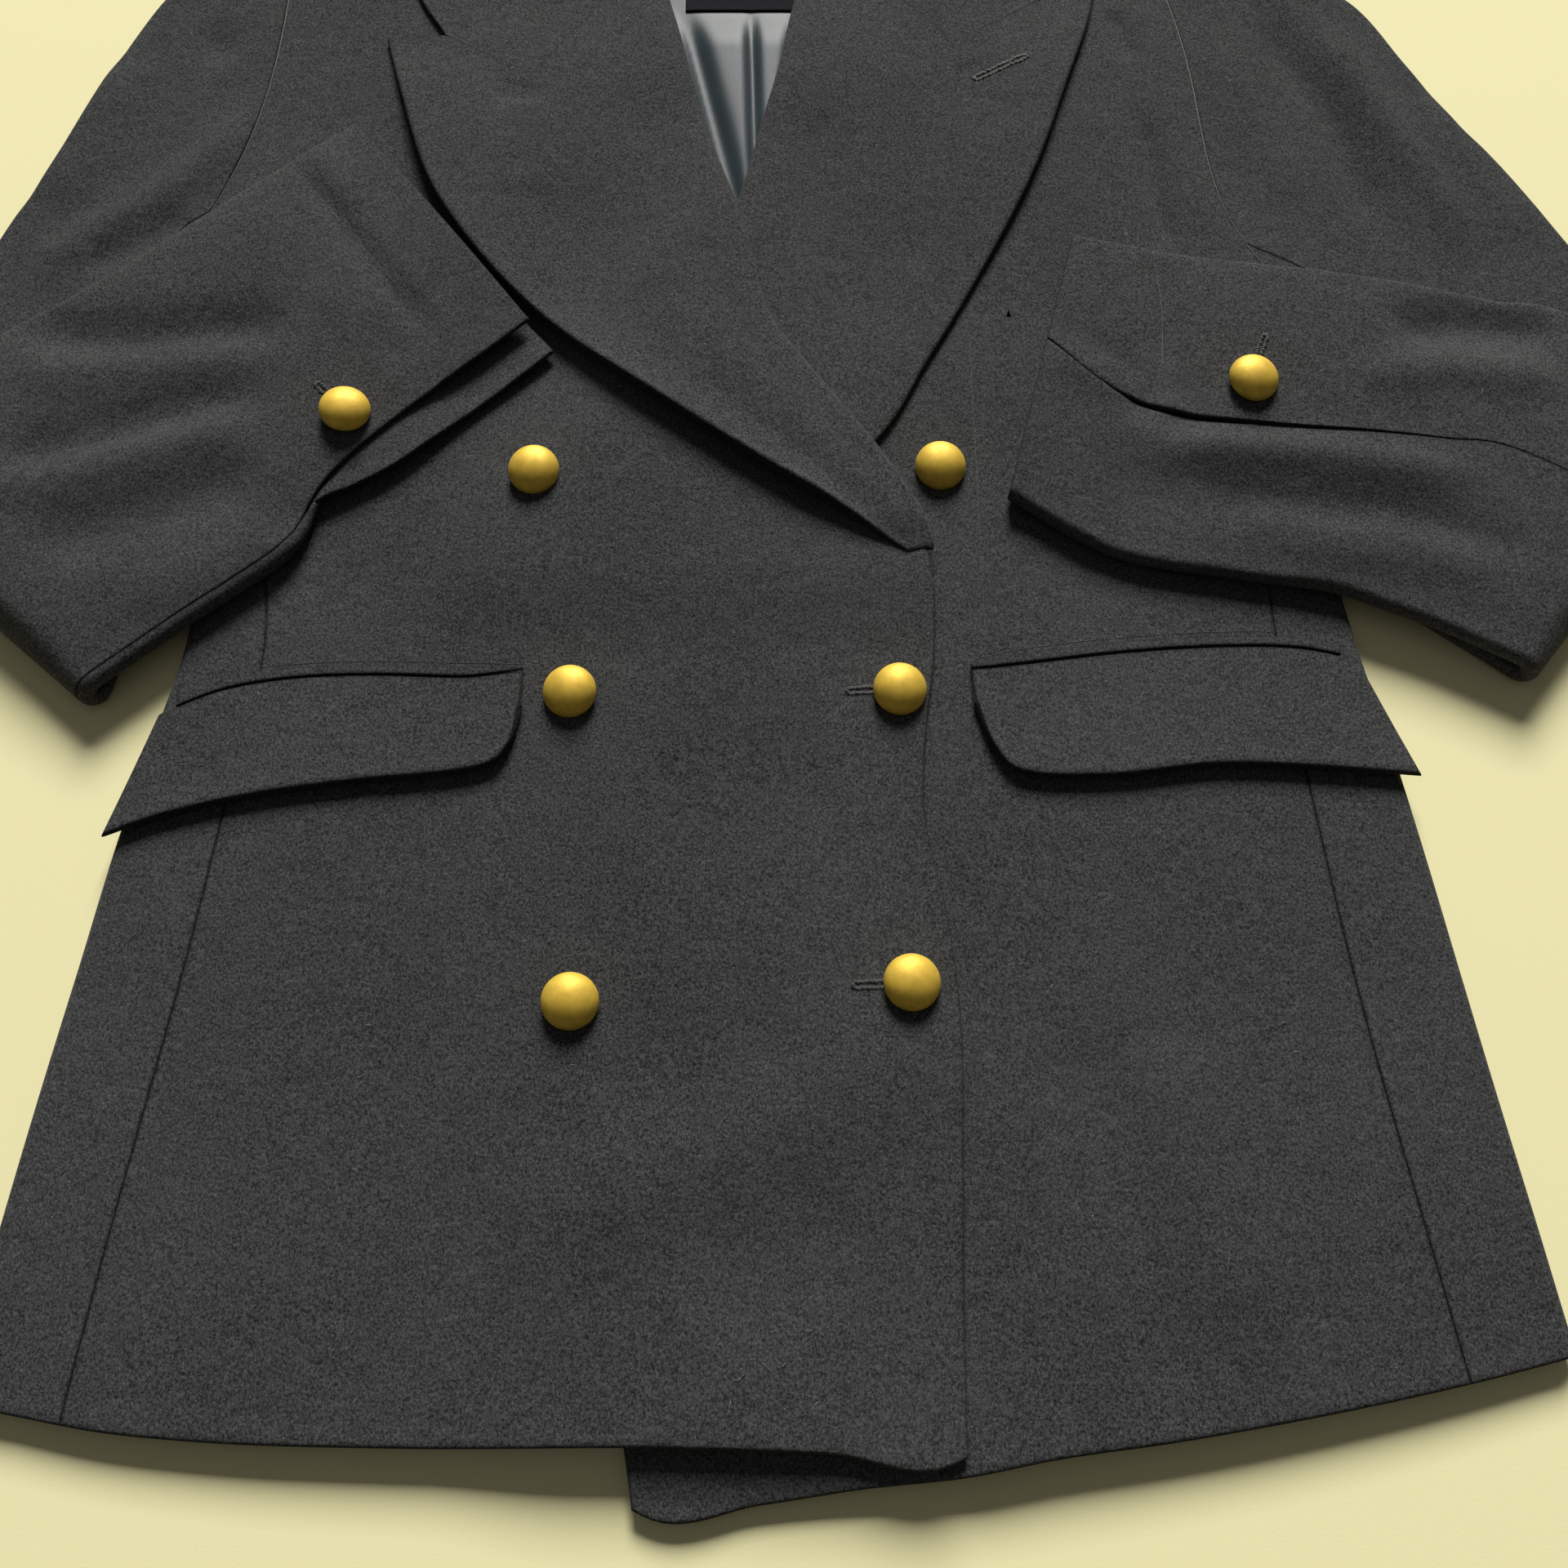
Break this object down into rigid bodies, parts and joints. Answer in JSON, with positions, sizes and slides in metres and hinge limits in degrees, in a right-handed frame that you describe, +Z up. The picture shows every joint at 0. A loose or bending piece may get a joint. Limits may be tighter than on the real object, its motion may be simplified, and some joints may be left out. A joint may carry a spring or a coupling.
{
  "type": "double-breasted blazer",
  "caption": "Double-breasted wool blazer laid flat with sleeves folded across the front: peak lapels, flap pockets, domed brass buttons and a satin-lined neck.",
  "frame": {"origin": "middle of the whole garment's box, on the surface that it lies on", "axes": "+X towards the wearer's left, +Y from the hem to the collar, +Z up off the surface"},
  "size_m": [0.8345, 0.8172, 0.032],
  "materials": {
    "wool": "heavy brushed navy wool, matt with a short nap",
    "lining": "slate blue satin",
    "label": "plain black woven tape",
    "brass": "matt aged brass"
  },
  "bodies": {
    "root": {"back": "wool", "front_right": "wool", "front_left": "wool", "side_right": "wool", "side_left": "wool", "lapel_right": "wool", "lapel_left": "wool", "collar": "wool", "sleeve_top_right": "wool", "sleeve_under_right": "wool", "sleeve_top_left": "wool", "sleeve_under_left": "wool", "pocket_flap_right": "wool", "pocket_flap_left": "wool", "pocket_welt_right": "wool", "pocket_welt_left": "wool", "back_lining": "lining", "neck_label": "label", "button_right_top": "brass", "button_right_middle": "brass", "button_right_bottom": "brass", "button_left_top": "brass", "button_left_middle": "brass", "button_left_bottom": "brass", "button_sleeve_right": "brass", "button_sleeve_left": "brass"}
  },
  "joints": []
}
